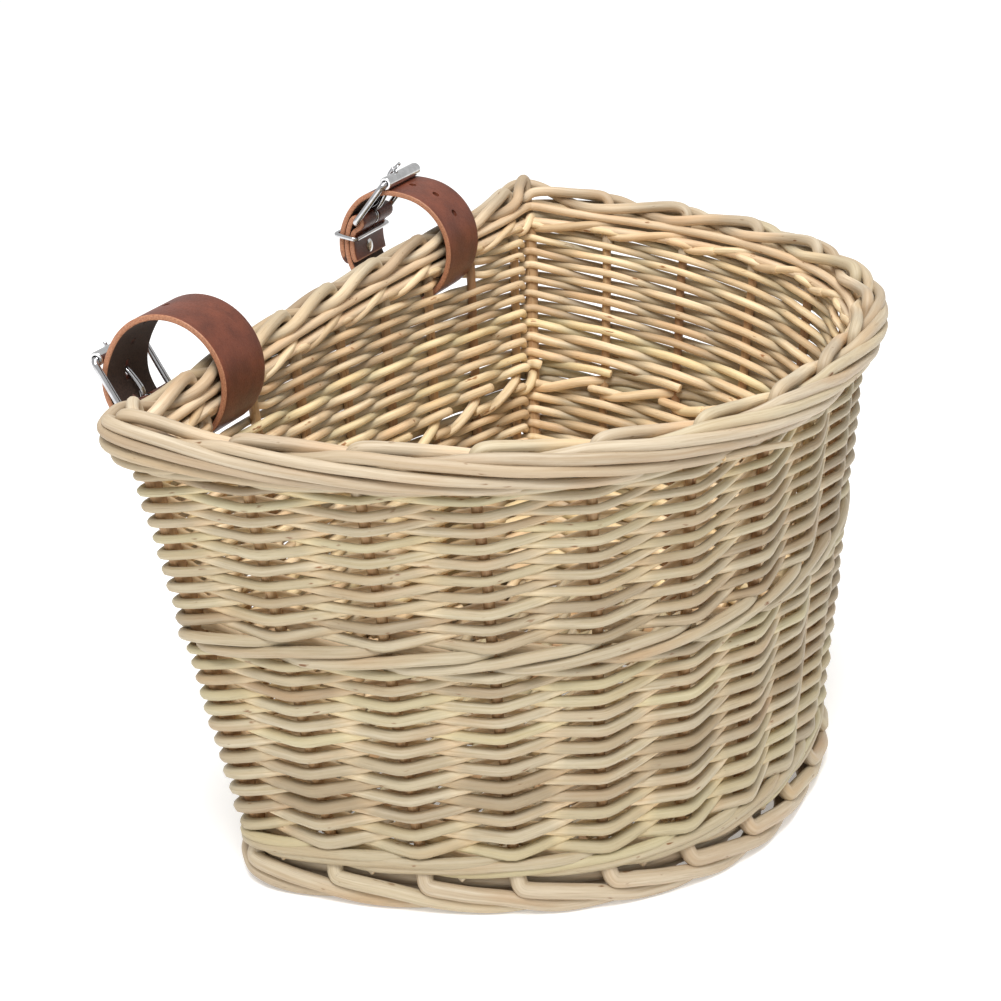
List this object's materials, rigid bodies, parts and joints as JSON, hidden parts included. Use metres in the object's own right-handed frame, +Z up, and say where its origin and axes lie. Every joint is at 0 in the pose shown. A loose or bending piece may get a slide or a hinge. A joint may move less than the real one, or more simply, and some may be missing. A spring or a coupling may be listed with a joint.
{
  "type": "handlebar basket",
  "caption": "Woven willow handlebar basket, D-shaped with a flat back wall, hung by two leather straps with roller buckles.",
  "frame": {"origin": "on the ground, in the middle of the width, under the middle line of the back wall's foot", "axes": "+Z up; +Y towards the handlebar (back wall and straps); X along the handlebar"},
  "size_m": [0.3346, 0.2355, 0.1949],
  "materials": {
    "willow_weave": "satin",
    "willow_rod": "satin",
    "willow_border": "satin",
    "leather": "satin",
    "buckle_steel": "polished",
    "roller_steel": "polished",
    "rivet_steel": "polished"
  },
  "bodies": {
    "basket": {"foot_border": "willow_border", "base_sticks": "willow_rod", "base_weave": "willow_weave", "side_stakes": "willow_rod", "corner_posts": "willow_rod", "bottom_wale": "willow_weave", "lower_siding": "willow_weave", "mid_wale": "willow_weave", "upper_siding": "willow_weave", "top_wale": "willow_weave", "rim_border": "willow_border"},
    "left_strap": {"left_strap": "leather", "left_rivet": "rivet_steel"},
    "left_buckle": {"left_buckle_frame": "buckle_steel"},
    "left_roller": {"left_buckle_roller": "roller_steel"},
    "left_prong": {"left_buckle_prong": "buckle_steel"},
    "left_keeper": {"left_keeper": "buckle_steel"},
    "right_strap": {"right_strap": "leather", "right_rivet": "rivet_steel"},
    "right_buckle": {"right_buckle_frame": "buckle_steel"},
    "right_roller": {"right_buckle_roller": "roller_steel"},
    "right_prong": {"right_buckle_prong": "buckle_steel"},
    "right_keeper": {"right_keeper": "buckle_steel"}
  },
  "joints": [
    {"name": "left_strap_turn", "type": "hinge", "parent": "basket", "child": "left_strap", "pos_m": [-0.089, 0.03032, 0.163], "axis": [1, 0, 0], "range_deg": [0, 100]},
    {"name": "left_frame_tilt", "type": "hinge", "parent": "left_strap", "child": "left_buckle", "pos_m": [-0.089, 0.04434, 0.14992], "axis": [-1, 0, 0], "range_deg": [0, 2]},
    {"name": "left_roller_spin", "type": "hinge", "parent": "left_buckle", "child": "left_roller", "pos_m": [-0.089, 0.05573, 0.16748], "axis": [1, 0, 0], "continuous": true},
    {"name": "left_prong_lift", "type": "hinge", "parent": "left_buckle", "child": "left_prong", "pos_m": [-0.089, 0.04434, 0.14992], "axis": [-1, 0, 0], "range_deg": [0, 2]},
    {"name": "left_keeper_slide", "type": "hinge", "parent": "left_strap", "child": "left_keeper", "pos_m": [-0.089, 0.03032, 0.163], "axis": [1, 0, 0], "range_deg": [-3.5, 3]},
    {"name": "right_strap_turn", "type": "hinge", "parent": "basket", "child": "right_strap", "pos_m": [0.089, 0.03032, 0.163], "axis": [1, 0, 0], "range_deg": [-66, 36]},
    {"name": "right_frame_tilt", "type": "hinge", "parent": "right_strap", "child": "right_buckle", "pos_m": [0.089, 0.04741, 0.17171], "axis": [-1, 0, 0], "range_deg": [0, 2]},
    {"name": "right_roller_spin", "type": "hinge", "parent": "right_buckle", "child": "right_roller", "pos_m": [0.089, 0.0348, 0.18842], "axis": [1, 0, 0], "continuous": true},
    {"name": "right_prong_lift", "type": "hinge", "parent": "right_buckle", "child": "right_prong", "pos_m": [0.089, 0.04741, 0.17171], "axis": [-1, 0, 0], "range_deg": [0, 2]},
    {"name": "right_keeper_slide", "type": "hinge", "parent": "right_strap", "child": "right_keeper", "pos_m": [0.089, 0.03032, 0.163], "axis": [1, 0, 0], "range_deg": [-3.5, 3]}
  ]
}
